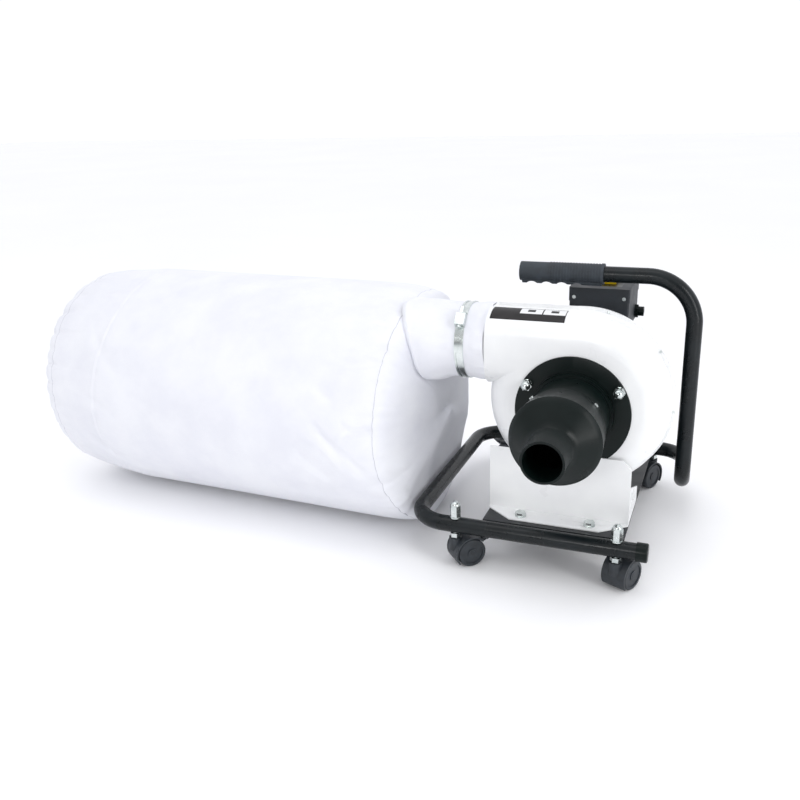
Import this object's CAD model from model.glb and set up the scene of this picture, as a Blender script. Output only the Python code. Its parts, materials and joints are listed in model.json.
import bpy
import json
import math
import numpy as np
from mathutils import Matrix, Vector


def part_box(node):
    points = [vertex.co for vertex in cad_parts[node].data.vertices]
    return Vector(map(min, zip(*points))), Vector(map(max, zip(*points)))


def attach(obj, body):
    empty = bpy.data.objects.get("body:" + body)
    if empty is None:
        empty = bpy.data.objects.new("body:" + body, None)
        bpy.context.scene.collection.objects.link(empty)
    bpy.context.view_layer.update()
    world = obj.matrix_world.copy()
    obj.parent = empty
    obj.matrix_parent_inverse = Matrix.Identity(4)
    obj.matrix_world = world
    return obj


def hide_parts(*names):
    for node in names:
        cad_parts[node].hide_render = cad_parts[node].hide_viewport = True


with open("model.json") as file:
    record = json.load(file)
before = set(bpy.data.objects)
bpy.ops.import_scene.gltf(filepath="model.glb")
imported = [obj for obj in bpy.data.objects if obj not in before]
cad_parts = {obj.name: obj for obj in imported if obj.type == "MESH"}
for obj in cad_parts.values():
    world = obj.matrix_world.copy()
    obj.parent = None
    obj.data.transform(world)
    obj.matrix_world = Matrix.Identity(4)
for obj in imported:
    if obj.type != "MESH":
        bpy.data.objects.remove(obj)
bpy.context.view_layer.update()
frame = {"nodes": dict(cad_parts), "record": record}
print("frame loaded")


# ---- shared helpers
# Linear colour of an sRGB hex code.
def linear(code):
    channels = [int(code[i:i + 2], 16) / 255 for i in (1, 3, 5)]
    return tuple(c / 12.92 if c <= 0.04045 else ((c + 0.055) / 1.055) ** 2.4 for c in channels) + (1.0,)


# One shader node; inputs take a plain value or another node's output.
def addNode(tree, kind, inputs=None, **settings):
    node = tree.nodes.new(kind)
    for name, value in settings.items():
        setattr(node, name, value)
    for name, value in (inputs or {}).items():
        if isinstance(value, bpy.types.NodeSocket):
            tree.links.new(value, node.inputs[name])
        else:
            node.inputs[name].default_value = value
    return node


# Two tones that drift over the surface, roughness that follows them, and a fine raised grain.
def makeFinish(name, look):
    material = bpy.data.materials.new(name)
    material.use_nodes = True
    tree = material.node_tree
    tree.nodes.clear()
    where = addNode(tree, "ShaderNodeTexCoord").outputs["Object"]
    drift = addNode(tree, "ShaderNodeTexNoise",
                    {"Vector": where, "Scale": 1000 / look["driftMm"], "Detail": 4.0})
    tones = addNode(tree, "ShaderNodeValToRGB", {"Fac": drift.outputs["Fac"]})
    tones.color_ramp.elements[0].position = 0.35
    tones.color_ramp.elements[1].position = 0.65
    tones.color_ramp.elements[0].color = linear(look["dark"])
    tones.color_ramp.elements[1].color = linear(look["light"])
    rough = addNode(tree, "ShaderNodeMapRange", {
        "Value": drift.outputs["Fac"], "From Min": 0.3, "From Max": 0.7,
        "To Min": look["rough"][0], "To Max": look["rough"][1]})
    grain = addNode(tree, "ShaderNodeTexNoise",
                    {"Vector": where, "Scale": 1000 / look["grainMm"], "Detail": 1.5, "Roughness": 0.5})
    bump = addNode(tree, "ShaderNodeBump", {
        "Height": grain.outputs["Fac"], "Strength": 1.0, "Distance": look["grainHeightMm"] / 1000})
    shader = addNode(tree, "ShaderNodeBsdfPrincipled", {
        "Base Color": tones.outputs["Color"], "Roughness": rough.outputs["Result"],
        "Metallic": look.get("metallic", 0.0), "Specular IOR Level": look.get("shine", 0.5),
        "Normal": bump.outputs["Normal"],
        "Coat Weight": look.get("coat", 0.0), "Coat Roughness": 0.12,
        "Sheen Weight": look.get("sheen", 0.0), "Sheen Roughness": 0.5})
    out = addNode(tree, "ShaderNodeOutputMaterial")
    tree.links.new(shader.outputs["BSDF"], out.inputs["Surface"])
    return material


def paint(obj, material):
    obj.data.materials.clear()
    obj.data.materials.append(material)


# Quads between neighbouring rows and columns; the last column joins the first when wrap is set.
def gridFaces(rows, cols, wrap):
    across = cols if wrap else cols - 1
    i, j = np.meshgrid(np.arange(rows - 1), np.arange(across), indexing="ij")
    k = (j + 1) % cols
    return np.stack([i * cols + j, (i + 1) * cols + j, (i + 1) * cols + k, i * cols + k], -1).reshape(-1, 4)


# A skin over a grid of points (rows, cols, 3) in metres; poles close its first and last row.
# cloth gives per-corner pattern coordinates (rows, cols + wrap, 2).
def makeSurface(name, points, wrap=True, closeRows=False, poles=(None, None), cloth=None):
    rows, cols = points.shape[:2]
    faces = gridFaces(rows, cols, wrap)
    if closeRows:
        j = np.arange(cols if wrap else cols - 1)
        k = (j + 1) % cols
        faces = np.concatenate([faces, np.stack([(rows - 1) * cols + j, j, k, (rows - 1) * cols + k], -1)])
    verts = points.reshape(-1, 3)
    allFaces = faces.tolist()
    for end, pole in enumerate(poles):
        if pole is None:
            continue
        base = 0 if end == 0 else (rows - 1) * cols
        j = np.arange(cols)
        k = (j + 1) % cols
        tip = np.full(cols, len(verts))
        verts = np.concatenate([verts, np.asarray(pole, float).reshape(1, 3)])
        fan = np.stack([tip, base + j, base + k] if end == 0 else [tip, base + k, base + j], -1)
        allFaces += fan.tolist()
    tri = np.array([f[:3] for f in allFaces])
    quad = np.array([[f[0], f[2], f[3]] for f in allFaces if len(f) == 4]).reshape(-1, 3)
    every = np.concatenate([tri, quad])
    centred = verts - verts.mean(0)
    first, second, third = (centred[every[:, k]] for k in range(3))
    volume = np.einsum("ij,ij->i", first, np.cross(second, third)).sum()
    if volume < 0:
        allFaces = [f[::-1] for f in allFaces]
    mesh = bpy.data.meshes.new(name)
    mesh.from_pydata(verts.tolist(), [], allFaces)
    mesh.polygons.foreach_set("use_smooth", np.ones(len(allFaces), bool))
    if cloth is not None:
        layer = mesh.uv_layers.new(name="cloth")
        corner = np.zeros(len(mesh.loops), int)
        mesh.loops.foreach_get("vertex_index", corner)
        row, col = np.minimum(corner // cols, rows - 1), corner % cols
        sizes = np.array([len(f) for f in allFaces])
        start = np.repeat(np.concatenate([[0], np.cumsum(sizes)[:-1]]), sizes)
        first = np.minimum.reduceat(col, np.unique(start))
        last = np.maximum.reduceat(col, np.unique(start))
        crosses = np.repeat((last - first) > 1, sizes)
        col = np.where(wrap & crosses & (col == 0), cols, col)
        layer.data.foreach_set("uv", cloth[row, col].reshape(-1).astype(np.float32))
    mesh.update()
    obj = bpy.data.objects.new(name, mesh)
    bpy.context.scene.collection.objects.link(obj)
    return obj


def smoothStep(x, low, high):
    t = np.clip((x - low) / (high - low), 0, 1)
    return t * t * (3 - 2 * t)


# the front left castor stem is the datum that every size below is counted from, in millimetres
stemLow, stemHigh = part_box("caster_stems")
datum = np.array([stemLow.x + 0.004, stemLow.y + 0.004, 0.0])


def place(points):
    return np.asarray(points, float) / 1000 + datum


def inMm(point):
    return (np.array(point) - datum) * 1000


# ---- camera, lights and floor
view = {"lens": 39.42, "place": (333.3, -1012.1, 610.1), "turn": 21.984, "tilt": 19.172, "roll": -1.753}
turn, tilt, roll = (math.radians(view[k]) for k in ("turn", "tilt", "roll"))
back = Vector((math.sin(turn) * math.cos(tilt), -math.cos(turn) * math.cos(tilt), math.sin(tilt)))
right = Vector((math.cos(turn), math.sin(turn), 0))
up = back.cross(right)
right, up = (right * math.cos(roll) + up * math.sin(roll), up * math.cos(roll) - right * math.sin(roll))
camera = bpy.data.objects.new("camera", bpy.data.cameras.new("camera"))
camera.data.lens = view["lens"]
camera.data.sensor_width = 36
camera.data.clip_end = 60
facing = Matrix((right, up, back)).transposed().to_4x4()
camera.matrix_world = Matrix.Translation(Vector(place(view["place"]))) @ facing
bpy.context.scene.collection.objects.link(camera)
bpy.context.scene.camera = camera

light = {"front": 0.2, "behind": 1.08, "sun": 0.36, "key": 1.8, "left": 1.6, "right": 9.0, "face": 8.5}
world = bpy.data.worlds.new("softRoom")
world.use_nodes = True
room = world.node_tree
aim = addNode(room, "ShaderNodeTexCoord").outputs["Generated"]
lean = addNode(room, "ShaderNodeVectorMath", {0: aim, 1: (0.0, 1.0, 0.6)}, operation="DOT_PRODUCT")
glow = addNode(room, "ShaderNodeMapRange", {
    "Value": lean.outputs["Value"], "From Min": -0.9, "From Max": 0.35,
    "To Min": light["front"], "To Max": light["behind"]})
room.nodes["Background"].inputs["Color"].default_value = linear("#FAFBFF")
room.links.new(glow.outputs["Result"], room.nodes["Background"].inputs["Strength"])
bpy.context.scene.world = world
bpy.context.scene.view_settings.view_transform = "Standard"


def addLamp(name, power, size, at, aim):
    lamp = bpy.data.objects.new(name, bpy.data.lights.new(name, "AREA"))
    lamp.data.shape = "RECTANGLE"
    lamp.data.size, lamp.data.size_y = size
    lamp.data.energy = power
    lamp.location = at
    lamp.rotation_euler = (Vector(aim) - Vector(at)).to_track_quat("-Z", "Y").to_euler()
    bpy.context.scene.collection.objects.link(lamp)


addLamp("keyLamp", light["key"], (1.3, 0.35), (0.1, -0.25, 1.7), (0.0, 0.0, 0.1))
addLamp("leftLamp", light["left"], (0.5, 1.2), (-1.6, -1.6, 1.0), (-0.1, 0.0, 0.15))
addLamp("rightLamp", light["right"], (0.3, 1.2), (1.7, -0.8, 0.7), (0.2, 0.0, 0.15))
addLamp("faceLamp", light["face"], (0.7, 0.5), (0.1, -2.3, 0.9), (0.1, 0.0, 0.15))
sun = bpy.data.objects.new("ceiling", bpy.data.lights.new("ceiling", "SUN"))
sun.data.energy = light["sun"]
sun.data.angle = math.radians(80)
sun.rotation_euler = (math.radians(24), math.radians(-10), 0)
bpy.context.scene.collection.objects.link(sun)

floorMesh = bpy.data.meshes.new("floor")
floorMesh.from_pydata([(-12, -12, 0), (12, -12, 0), (12, 12, 0), (-12, 12, 0)], [], [(0, 1, 2, 3)])
floor = bpy.data.objects.new("floor", floorMesh)
bpy.context.scene.collection.objects.link(floor)
paint(floor, makeFinish("pale studio floor", {
    "dark": "#FBFBFC", "light": "#FDFDFE", "driftMm": 900, "rough": (0.75, 0.8), "grainMm": 4.0,
    "grainHeightMm": 0.0}))
print("camera, lights and floor set")

# ---- finishes of the hard parts
finishes = {
    # black powder coat: satin black whose orange-peel surface breaks highlights into specks
    "framePowder": {"dark": "#0A0F11", "light": "#10171A", "shine": 0.3, "driftMm": 30, "rough": (0.24, 0.32),
                    "grainMm": 2.0, "grainHeightMm": 0.16},
    # white powder coat: clean semi-gloss white with a faint peel
    "housingPaint": {"dark": "#E8E9EA", "light": "#EFF0F0", "driftMm": 60, "rough": (0.26, 0.36),
                     "grainMm": 2.4, "grainHeightMm": 0.012, "coat": 0.15},
    # flat black sheet paint: duller than the tube
    "platePaint": {"dark": "#17191C", "light": "#222529", "driftMm": 25, "rough": (0.42, 0.55),
                   "grainMm": 1.2, "grainHeightMm": 0.02},
    # moulded black plastic with a green-blue depth and fine handling marks
    "blackPlastic": {"dark": "#081110", "light": "#0A1413", "shine": 0.18, "driftMm": 22, "rough": (0.27, 0.4),
                     "grainMm": 0.9, "grainHeightMm": 0.006},
    # blue-grey moulded box with a spark-eroded texture
    "boxPlastic": {"dark": "#151B21", "light": "#1D242B", "driftMm": 18, "rough": (0.5, 0.62),
                   "grainMm": 0.8, "grainHeightMm": 0.05},
    # matt rubber that scatters light softly
    "gripRubber": {"dark": "#2A3036", "light": "#363D44", "driftMm": 12, "rough": (0.58, 0.72),
                   "grainMm": 0.5, "grainHeightMm": 0.02},
    # bright zinc plate: cool metal with small cloudy changes
    "zinc": {"dark": "#BEC5C4", "light": "#DBE0DE", "driftMm": 14, "rough": (0.18, 0.28), "metallic": 1.0,
             "grainMm": 0.6, "grainHeightMm": 0.002},
    # blackened axle ends: as dull as the nylon round them
    "axleBlack": {"dark": "#1C2025", "light": "#252A30", "driftMm": 6, "rough": (0.4, 0.5),
                  "grainMm": 0.6, "grainHeightMm": 0.01},
    # cast alloy: grainy grey metal
    "castAlloy": {"dark": "#8F9294", "light": "#A9ACAE", "driftMm": 8, "rough": (0.42, 0.6), "metallic": 1.0,
                  "grainMm": 0.7, "grainHeightMm": 0.05},
    # dark enamel on the motor
    "motorPaint": {"dark": "#1E2226", "light": "#2A2F34", "driftMm": 20, "rough": (0.35, 0.5),
                   "grainMm": 1.2, "grainHeightMm": 0.03},
    # varnished copper windings
    "winding": {"dark": "#7A4526", "light": "#A86437", "driftMm": 3, "rough": (0.3, 0.45), "metallic": 0.6,
                "grainMm": 0.8, "grainHeightMm": 0.1},
    # ground steel
    "steel": {"dark": "#9EA1A3", "light": "#B9BCBD", "driftMm": 6, "rough": (0.22, 0.35), "metallic": 1.0,
              "grainMm": 0.5, "grainHeightMm": 0.01},
    # dark grey castor nylon with a dull mould finish
    "casterNylon": {"dark": "#1F2429", "light": "#2A3036", "driftMm": 9, "rough": (0.42, 0.56),
                    "grainMm": 0.7, "grainHeightMm": 0.02},
    "buttonGreen": {"dark": "#157A34", "light": "#1B8A3C", "driftMm": 6, "rough": (0.3, 0.4),
                    "grainMm": 0.6, "grainHeightMm": 0.01},
    "buttonRed": {"dark": "#B01812", "light": "#C5211A", "driftMm": 6, "rough": (0.3, 0.4),
                  "grainMm": 0.6, "grainHeightMm": 0.01},
    # glossy yellow moulding
    "flapYellow": {"dark": "#D9B400", "light": "#E6C30A", "driftMm": 8, "rough": (0.3, 0.42),
                   "grainMm": 0.7, "grainHeightMm": 0.012},
    # printed film: flat black and flat white
    "labelBlack": {"dark": "#1C1A1B", "light": "#252324", "shine": 0.3, "driftMm": 12, "rough": (0.4, 0.5),
                   "grainMm": 0.5, "grainHeightMm": 0.004},
    "labelWhite": {"dark": "#E4E5E6", "light": "#ECEDEE", "driftMm": 12, "rough": (0.4, 0.5),
                   "grainMm": 0.5, "grainHeightMm": 0.004},
    "capacitorWhite": {"dark": "#CFCFCB", "light": "#DADAD6", "driftMm": 10, "rough": (0.4, 0.5),
                       "grainMm": 0.8, "grainHeightMm": 0.01},
}
mats = {name: makeFinish(name, look) for name, look in finishes.items()}
slotFinish = {
    "frame_powder": "framePowder", "housing_paint": "housingPaint", "plate_paint": "platePaint",
    "black_plastic": "blackPlastic", "box_plastic": "boxPlastic", "grip_rubber": "gripRubber",
    "zinc": "zinc", "cast_alloy": "castAlloy", "motor_paint": "motorPaint", "winding": "winding",
    "steel": "steel", "caster_nylon": "casterNylon", "button_green": "buttonGreen",
    "button_red": "buttonRed", "flap_yellow": "flapYellow", "label": "labelBlack",
    "capacitor_white": "capacitorWhite", "bag_cloth": "labelWhite"}
for part in frame["record"]["subparts"]:
    paint(frame["nodes"][part["node"]], mats[slotFinish[part["material_slot"]]])

for name, obj in frame["nodes"].items():
    if name.endswith("_axle"):
        paint(obj, mats["axleBlack"])

# ---- label: black film with two white panels, each with a plain dark sign, sizes in millimetres
label = {"panels": ((66.0, 95.0), (96.6, 125.2)), "low": 73.0, "high": 88.6, "signHalf": (5.0, 3.6),
         "white": "#E6E7E8", "sign": "#2A2A2C"}


# 1 inside a box about a middle, 0 outside: (|x - cx| < hx) (|y - cy| < hy)
def insideBox(tree, axes, middle, half):
    sides = []
    for axis, centre, reach in zip(axes, middle, half):
        away = addNode(tree, "ShaderNodeMath", {0: axis, 1: centre}, operation="SUBTRACT").outputs[0]
        span = addNode(tree, "ShaderNodeMath", {0: away}, operation="ABSOLUTE").outputs[0]
        sides.append(addNode(tree, "ShaderNodeMath", {0: span, 1: reach}, operation="LESS_THAN").outputs[0])
    return addNode(tree, "ShaderNodeMath", {0: sides[0], 1: sides[1]}, operation="MULTIPLY").outputs[0]


labelFilm = mats["labelBlack"].copy()
labelFilm.name = "printed label film"
film = labelFilm.node_tree
spot = addNode(film, "ShaderNodeSeparateXYZ",
               {"Vector": addNode(film, "ShaderNodeTexCoord").outputs["Object"]}).outputs
shaderNode = next(n for n in film.nodes if n.type == "BSDF_PRINCIPLED")
colour = shaderNode.inputs["Base Color"].links[0].from_socket
middleY = (label["low"] + label["high"]) / 2
for x0, x1 in label["panels"]:
    centre = place([(x0 + x1) / 2, middleY, 0])
    for half, tone in ((((x1 - x0) / 2, (label["high"] - label["low"]) / 2), label["white"]),
                       (label["signHalf"], label["sign"])):
        mask = insideBox(film, (spot["X"], spot["Y"]), centre[:2], (half[0] / 1000, half[1] / 1000))
        mixed = addNode(film, "ShaderNodeMix", {0: mask, 6: colour, 7: linear(tone)}, data_type="RGBA")
        colour = mixed.outputs[2]
film.links.new(colour, shaderNode.inputs["Base Color"])
paint(frame["nodes"]["pictogram_label"], labelFilm)

# sheet and moulded parts get a small rounded edge that catches light
rounded = {"fan_bracket": 0.35, "base_plate": 0.35, "switch_box_base": 0.7, "switch_box_cover": 0.7,
           "stop_flap": 0.5, "motor_foot": 0.35, "deck_bolts": 0.3, "hex_nuts": 0.3,
           "inlet_flange_bolts": 0.25, "caster_acorn_nuts": 0.25, "frame_end_cap": 0.4}
for name, obj in frame["nodes"].items():
    mesh = obj.data
    if mesh.has_custom_normals:
        custom = mesh.attributes.get("custom_normal")
        if custom is not None:
            mesh.attributes.remove(custom)
    mesh.polygons.foreach_set("use_smooth", np.ones(len(mesh.polygons), bool))
    weld = obj.modifiers.new("weld", "WELD")
    weld.merge_threshold = 0.000004
    if name in rounded:
        bevel = obj.modifiers.new("edges", "BEVEL")
        bevel.width = rounded[name] / 1000
        bevel.segments = 2
        bevel.limit_method = "ANGLE"
        bevel.angle_limit = math.radians(35)
        bevel.harden_normals = True
    else:
        split = obj.modifiers.new("crisp", "EDGE_SPLIT")
        split.split_angle = math.radians(32)
print("frame finishes done")

# ---- filter bag: three cloth panels sewn at two seams
bag = {"radius": 177.0, "height": 174.0, "yaw": 3.0, "x": -60.0, "y": 143.5, "nearSeam": -39.0,
       "farSeam": -606.0, "nearBulge": 40.0, "farBulge": 60.0, "dimple": 5.0, "farNarrow": 7.0, "hemAt": 455.0,
       "rows": 230, "cols": 400, "panelRows": 90, "puckers": 95, "seed": 11}
chance = np.random.default_rng(bag["seed"])
yaw = math.radians(bag["yaw"])
along = np.array([math.cos(yaw), -math.sin(yaw), 0.0])
across = np.array([math.sin(yaw), math.cos(yaw), 0.0])
bagOrigin = np.array([bag["x"], bag["y"], bag["height"]])
spigotLow, spigotHigh = (inMm(p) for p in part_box("outlet_spigot"))
sleeveY, sleeveZ = (spigotLow[1] + spigotHigh[1]) / 2, (spigotLow[2] + spigotHigh[2]) / 2
tubeLow, tubeHigh = (inMm(p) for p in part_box("base_frame_tube"))
tubeLeft, tubeTop = tubeLow[0], tubeHigh[2]
round0 = np.linspace(0, 2 * math.pi, bag["cols"], endpoint=False)


# Where the near seam lies along the axis: it leans in at the top and out where it meets the frame.
def nearSeamAt(angle):
    c = np.cos(angle)
    return bag["nearSeam"] + 6 * np.maximum(c, 0) ** 2 + 30 * np.maximum(-c, 0) ** 2


# Sum of narrow folds square to a seam:
# -depth exp(-((arc - at - slant reach) / width)^2) exp(-(reach / length)^1.4)
def gathers(arc, reach, spots):
    total = np.zeros(np.broadcast(arc, reach).shape)
    loop = 2 * math.pi * bag["radius"]
    for at, width, length, depth, slant in spots:
        gap = (arc - at - slant * reach + loop / 2) % loop - loop / 2
        total -= depth * np.exp(-(gap / width) ** 2) * np.exp(-(reach / length) ** 1.4)
    return total


# One pressed fold between two points of the cloth: a valley with a soft ridge beside it, fading at both ends.
def fold(s, arc, start, end, depth, width, bow=0.0):
    (s0, a0), (s1, a1) = start, end
    span = math.hypot(s1 - s0, a1 - a0)
    ds, da = (s1 - s0) / span, (a1 - a0) / span
    p = ((s - s0) * ds + (arc - a0) * da) / span
    off = ((s - s0) * da - (arc - a0) * ds - bow * 4 * p * (1 - p)) / width
    fade = smoothStep(p, -0.2, 0.25) * (1 - smoothStep(p, 0.7, 1.15))
    return -depth * fade * (np.exp(-off ** 2) - 0.55 * np.exp(-(off - 1.7) ** 2))


# Random gathers along a seam; longer gives extra reach at the top and bottom of the near end.
def seamSpots(count, longer):
    at = chance.uniform(0, 2 * math.pi * bag["radius"], count)
    angle = at / bag["radius"]
    pull = np.exp(-((angle - 0.55) / 0.42) ** 2) + np.exp(-((angle - 2.35) / 0.45) ** 2)
    length = chance.uniform(7, 22, count) + longer * pull * chance.uniform(0.4, 1.0, count)
    depth = chance.uniform(0.35, 1.2, count) + 1.3 * pull * chance.uniform(0.2, 1.0, count) * (longer > 0)
    width = chance.uniform(3.2, 6.5, count)
    return np.stack([at, width, length, depth, chance.uniform(-0.25, 0.25, count)], 1)


nearSpots = seamSpots(bag["puckers"], 42)
panelSpots = seamSpots(bag["puckers"], 22)
farSpots = seamSpots(70, 0)
farSpots[:, 2] *= 2.2
farSpots[:, 3] *= 2.0
swells = [(chance.integers(1, 7), chance.uniform(0.002, 0.014), chance.uniform(0, 6.28), chance.uniform(0, 6.28))
          for _ in range(14)]


# Slow unevenness of filled cloth: sum of sin(k angle + p) sin(w s + q) / k.
def sideSwell(s, angle):
    return sum(np.sin(k * angle + p) * np.sin(w * s + q) / k for k, w, p, q in swells)


# The cloth lies flat on the floor and gives way to the frame tube beside it.
def settle(points):
    z = points[..., 2]
    points[..., 2] = 0.35 + 0.5 * (z + np.sqrt(z ** 2 + 5.0 ** 2))
    limit = tubeLeft - 1.5 + 24 * smoothStep(points[..., 2], tubeTop, tubeTop + 95)
    over = points[..., 0] - limit
    points[..., 0] = limit + 0.5 * (over - np.sqrt(over ** 2 + 7.0 ** 2))
    return points


# Point t along the bag's axis, radius out from it; angle is 0 at the top and grows towards -across.
def onBag(t, radius, angle):
    return (bagOrigin + t[..., None] * along + (radius * np.cos(angle))[..., None] * np.array([0, 0, 1.0])
            - (radius * np.sin(angle))[..., None] * across)


# the side panel: s runs along the cloth from the near seam to the far one
length = nearSeamAt(0) - bag["farSeam"]
spread = np.linspace(0, 1, bag["rows"])
share = 0.5 - 0.5 * np.cos(math.pi * spread)
share = 0.35 * spread + 0.65 * share
angle = np.broadcast_to(round0, (bag["rows"], bag["cols"]))
nearAt = nearSeamAt(angle)
s = share[:, None] * (nearAt - bag["farSeam"])
toFar = (nearAt - bag["farSeam"]) - s
arc = angle * bag["radius"]
radius = bag["radius"] - 7 * np.exp(-s / 22)
radius = radius - bag["farNarrow"] * (1 - smoothStep(toFar, 0, 120)) - 4 * np.exp(-toFar / 14)
radius = radius + 1.3 * sideSwell(s, angle) * smoothStep(s, 0, 60) * smoothStep(toFar, 0, 60)
radius = radius + gathers(arc, s, nearSpots) + gathers(arc, toFar, farSpots)
hem = s - bag["hemAt"] - 24 * smoothStep(angle, 0.3, 2.0)
radius = radius - 1.0 * np.exp(-(hem / 2.2) ** 2) + 0.7 * np.exp(-((hem - 4.5) / 2.6) ** 2)
# start, end, depth, width and bow of each pressed fold; start and end are (along the cloth, round it)
pressed = [
    ((2, 260), (30, 266), 3.4, 5.0, 0),
    ((28, 266), (46, 280), 2.6, 4.5, 0),
    ((30, 262), (46, 254), 1.5, 5.0, 0),
    ((104, 260), (14, 338), 2.6, 8.0, -9),
    ((94, 252), (40, 330), 1.8, 6.0, -5),
    ((88, 208), (54, 230), 1.4, 6.0, 0),
    ((62, 168), (0, 160), 1.6, 6.0, 4),
    ((80, 190), (4, 176), 1.0, 5.0, 3),
    ((120, 300), (66, 352), 1.2, 8.0, 4),
    ((150, 80), (16, 60), 1.0, 9.0, 3),
    ((498, 150), (420, 235), 1.4, 9.0, 5),
    ((510, 260), (430, 300), 1.2, 8.0, -4),
    ((515, 90), (455, 60), 1.6, 8.0, 3),
    ((180, 380), (30, 372), 1.0, 10.0, 4),
    ((300, 40), (120, 28), 0.8, 9.0, 3),
    ((516, 330), (440, 395), 1.5, 9.0, 4),
    ((40, 700), (160, 740), 1.4, 9.0, 4),
    ((60, 860), (10, 840), 2.0, 7.0, 2)]
for start, end, depth, width, bow in pressed:
    radius = radius + fold(s, arc, start, end, depth, width, bow)
side = settle(onBag(nearAt - s, radius, angle))
wide = np.concatenate([arc, arc[:, :1] + 2 * math.pi * bag["radius"]], 1)
deep = np.concatenate([s, s[:, :1]], 1)
bagSide = makeSurface("bagSidePanel", place(side), cloth=np.stack([wide, deep], -1) / 1000)


# A round end panel: t = seam + bulge (1 - q^2.2)^0.5, q from the seam (1) to the middle (0).
def endPanel(name, seamAt, edge, bulge, spots, sign, dimple):
    rows = bag["panelRows"]
    q = (1 - np.linspace(0, 0.985, rows) ** 1.35)[:, None]
    around = np.broadcast_to(round0, (rows, bag["cols"]))
    rim = np.broadcast_to(seamAt, (rows, bag["cols"]))
    rise = bulge * np.maximum(1 - q ** 2.2, 0) ** 0.5
    reach = (1 - q) * bag["radius"] + 0.45 * rise
    lift = gathers(around * bag["radius"], reach, spots)
    t = rim + sign * (rise + lift + 0.5 * sideSwell(reach, around) * (1 - q) * 2)
    out = edge * q + 0 * around
    points = onBag(t, out, around)
    if dimple:
        off = np.hypot(points[..., 1] - sleeveY, points[..., 2] - sleeveZ)
        points[..., 0] -= bag["dimple"] * np.exp(-(off / 78) ** 2) * smoothStep(1 - q, 0.02, 0.3)
        points[..., 0] += fold(points[..., 2], points[..., 1], (92, 22), (78, 52), 2.2, 5.0)
        points[..., 0] += fold(points[..., 2], points[..., 1], (128, -8), (112, 26), 1.6, 6.0)
    points = settle(points)
    middle = points[-1].mean(0)
    flat = points[..., 1:]
    pattern = np.concatenate([flat, flat[:, :1]], 1) / 1000
    return makeSurface(name, place(points), poles=(None, place(middle)), cloth=pattern)


bagNear = endPanel("bagNearPanel", nearSeamAt(round0), radius[0], bag["nearBulge"], panelSpots, 1, True)
bagFar = endPanel("bagFarPanel", np.full(bag["cols"], bag["farSeam"]), radius[-1], bag["farBulge"], farSpots,
                  -1, False)


# a rolled seam allowance along each end seam and a line of thread beside it
# A thin closed cord along a ring of points: ring + size (cos f e1 + sin f e2).
def seamRoll(name, ring, size):
    ahead = np.roll(ring, -1, 0) - np.roll(ring, 1, 0)
    ahead /= np.linalg.norm(ahead, axis=1, keepdims=True)
    outward = ring - ring.mean(0)
    outward -= (outward * ahead).sum(1, keepdims=True) * ahead
    outward /= np.linalg.norm(outward, axis=1, keepdims=True)
    third = np.cross(ahead, outward)
    f = np.linspace(0, 2 * math.pi, 8, endpoint=False)[:, None, None]
    return makeSurface(name, place(ring + size * (np.cos(f) * outward + np.sin(f) * third)), closeRows=True)


seams = [seamRoll("bagNearSeam", side[0] - 0.9 * (side[0] - side[0].mean(0)) / bag["radius"], 1.0),
         seamRoll("bagFarSeam", side[-1] - 0.9 * (side[-1] - side[-1].mean(0)) / bag["radius"], 1.0)]

# ---- outlet sleeve: a cloth tube gathered under the clamp
sleeve = {"cuffX": 23.6, "cuffR": 52.6, "bandX": (-20.0, 0.0), "bandR": 51.2, "seamR": 53.5, "seamDrop": 5.0,
          "dimpleFade": math.exp(-(58 / 78) ** 2), "cols": 300, "seed": 5}
chance = np.random.default_rng(sleeve["seed"])
turnA = np.linspace(0, 2 * math.pi, sleeve["cols"], endpoint=False)
outY, outZ = -np.sin(turnA), np.cos(turnA)


# Where the near panel stands at a point across from the bag's axis.
def domeX(y, z):
    r = np.hypot(y - bag["y"], z - bag["height"]) / bag["radius"]
    rise = bag["nearBulge"] * np.maximum(1 - r ** 2.2, 0) ** 0.5
    seam = nearSeamAt(np.arctan2(bag["y"] - y, z - bag["height"]))
    return bag["x"] + seam + rise - bag["dimple"] * sleeve["dimpleFade"]


seamR = sleeve["seamR"] + sleeve["seamDrop"] * (1 - np.cos(turnA)) / 2
endX = domeX(sleeveY + seamR * outY, sleeveZ + seamR * outZ) - 2.0
endX = np.maximum(endX, -100.0)
step = np.concatenate([np.linspace(0, 1, 60), np.full(3, 1.0)])[:, None]
xs = sleeve["bandX"][0] + (endX - sleeve["bandX"][0]) * step
r = sleeve["bandR"] + (seamR - sleeve["bandR"]) * smoothStep(step, 0.0, 0.75)
r = r + 0.8 * np.exp(-((step - 0.96) / 0.04) ** 2)
ease = smoothStep(step, 0.03, 0.25)
for _ in range(34):
    at, width = chance.uniform(0, 6.28), chance.uniform(0.05, 0.12)
    depth, reach = chance.uniform(0.4, 1.6), chance.uniform(0.25, 0.8)
    gap = (turnA - at + math.pi) % (2 * math.pi) - math.pi
    r = r - depth * ease * np.exp(-(gap / width) ** 2) * np.exp(-(step / reach) ** 2)
low = (turnA - 2.35 + math.pi) % (2 * math.pi) - math.pi
r = r + 3.0 * np.exp(-(low / 0.5) ** 2) * smoothStep(step, 0.2, 0.85)
r = r - 2.0 * np.exp(-((turnA - 1.75) / 0.3) ** 2) * smoothStep(step, 0.55, 0.95)
r = r - np.array([0] * 60 + [1.2, 3.0, 6.0])[:, None]
bodyX, bodyR = xs - np.array([0] * 60 + [1.0, 3.0, 5.0])[:, None], r
cuffStep = np.linspace(0, 1, 24)[:, None]
cuffX = sleeve["cuffX"] + (sleeve["bandX"][1] - sleeve["cuffX"]) * cuffStep + 0 * turnA
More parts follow.
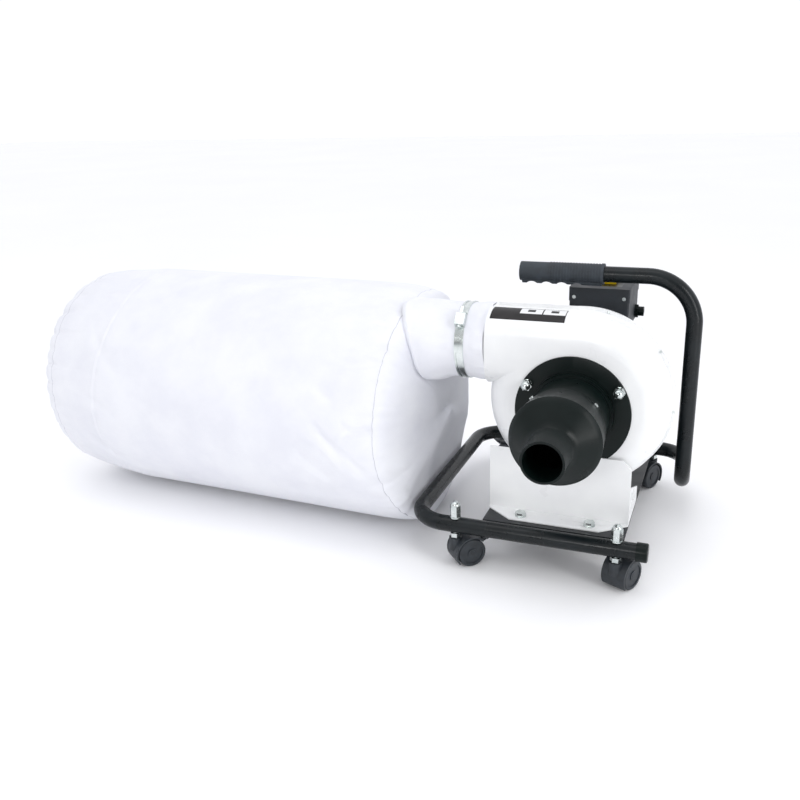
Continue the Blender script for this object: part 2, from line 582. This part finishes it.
cuffR = sleeve["bandR"] + (sleeve["cuffR"] - sleeve["bandR"]) * smoothStep(1 - cuffStep, 0.0, 0.5) + 0 * turnA
for _ in range(22):
    at, width, depth = chance.uniform(0, 6.28), chance.uniform(0.05, 0.14), chance.uniform(0.3, 1.3)
    gap = (turnA - at + math.pi) % (2 * math.pi) - math.pi
    cuffR = cuffR + depth * np.exp(-(gap / width) ** 2) * smoothStep(1 - cuffStep, 0.15, 0.9)
cuffX = cuffX + 1.1 * np.sin(3 * turnA + 1.0) * smoothStep(1 - cuffStep, 0.4, 1) - 0.9
lipX = np.stack([cuffX[0] - 8.0, cuffX[0] - 0.2, cuffX[0] + 0.5])
lipR = np.stack([cuffR[0] * 0 + 50.2, cuffR[0] - 1.5, cuffR[0] - 0.8])
bandRowsX = np.linspace(sleeve["bandX"][1] - 2, sleeve["bandX"][0] + 2, 6)[:, None] + 0 * turnA
allX = np.concatenate([lipX, cuffX, bandRowsX, bodyX])
allR = np.concatenate([lipR, cuffR, np.full((6, len(turnA)), sleeve["bandR"]), bodyR])
sleevePoints = np.stack([allX, sleeveY + allR * outY, sleeveZ + allR * outZ], -1)
runA = np.concatenate([turnA, [2 * math.pi]]) * 52.0
sleeveCloth = np.stack([np.broadcast_to(runA, (len(allX), len(runA))),
                        np.concatenate([allX, allX[:, :1]], 1)], -1) / 1000
bagSleeve = makeSurface("outletSleeve", place(sleevePoints), cloth=sleeveCloth)


# white needle-felt cloth: soft, dull, with a fine plain weave and a slight fuzz that lifts grazing light
cloth = {"light": "#F0F1F6", "dark": "#E9EAF1", "threadMm": 1.1, "weaveMm": 0.09, "fuzzMm": 0.7,
         "fuzzHeightMm": 0.12, "rough": 0.88}
clothMat = bpy.data.materials.new("white filter cloth")
clothMat.use_nodes = True
tree = clothMat.node_tree
tree.nodes.clear()
grid = addNode(tree, "ShaderNodeUVMap", uv_map="cloth").outputs["UV"]
where = addNode(tree, "ShaderNodeTexCoord").outputs["Object"]
threads = {"Vector": grid, "Scale": 1000 / cloth["threadMm"] / 6.283 * 3.1416, "Distortion": 0.6, "Detail": 1.0}
warp = addNode(tree, "ShaderNodeTexWave", threads, bands_direction="X")
weft = addNode(tree, "ShaderNodeTexWave", threads, bands_direction="Y")
weave = addNode(tree, "ShaderNodeMath", {0: warp.outputs["Fac"], 1: weft.outputs["Fac"]},
                operation="MULTIPLY")
fuzz = addNode(tree, "ShaderNodeTexNoise", {"Vector": where, "Scale": 1000 / cloth["fuzzMm"], "Detail": 3.0})
patch = addNode(tree, "ShaderNodeTexNoise", {"Vector": where, "Scale": 14.0, "Detail": 5.0, "Roughness": 0.6})
tones = addNode(tree, "ShaderNodeValToRGB", {"Fac": patch.outputs["Fac"]})
tones.color_ramp.elements[0].position, tones.color_ramp.elements[1].position = 0.35, 0.65
tones.color_ramp.elements[0].color = linear(cloth["dark"])
tones.color_ramp.elements[1].color = linear(cloth["light"])
speck = addNode(tree, "ShaderNodeMapRange", {"Value": fuzz.outputs["Fac"], "From Min": 0.3, "From Max": 0.7,
                                             "To Min": 0.965, "To Max": 1.0})
tinted = addNode(tree, "ShaderNodeMix", {
    6: tones.outputs["Color"], 7: speck.outputs["Result"],
    "Factor": 1.0}, data_type="RGBA", blend_type="MULTIPLY")
bumpA = addNode(tree, "ShaderNodeBump", {
    "Height": weave.outputs["Value"], "Distance": cloth["weaveMm"] / 1000})
bumpB = addNode(tree, "ShaderNodeBump", {
    "Height": fuzz.outputs["Fac"], "Distance": cloth["fuzzHeightMm"] / 1000, "Normal": bumpA.outputs["Normal"]})
shader = addNode(tree, "ShaderNodeBsdfPrincipled", {
    "Base Color": tinted.outputs[2], "Roughness": cloth["rough"], "Sheen Weight": 0.12, "Sheen Roughness": 0.5,
    "Normal": bumpB.outputs["Normal"]})
out = addNode(tree, "ShaderNodeOutputMaterial")
tree.links.new(shader.outputs["BSDF"], out.inputs["Surface"])
# greyer thread, so that the seams read as thin lines
threadMat = makeFinish("seam thread", {
    "dark": "#C3C4CC", "light": "#D2D3DA", "driftMm": 6, "rough": (0.8, 0.9), "grainMm": 0.8,
    "grainHeightMm": 0.1})
for piece in [bagSide, bagNear, bagFar, bagSleeve] + seams:
    paint(piece, threadMat if piece in seams else clothMat)
    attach(piece, "base")
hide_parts("filter_bag")
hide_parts("bag_sleeve")
print("bag and sleeve done")
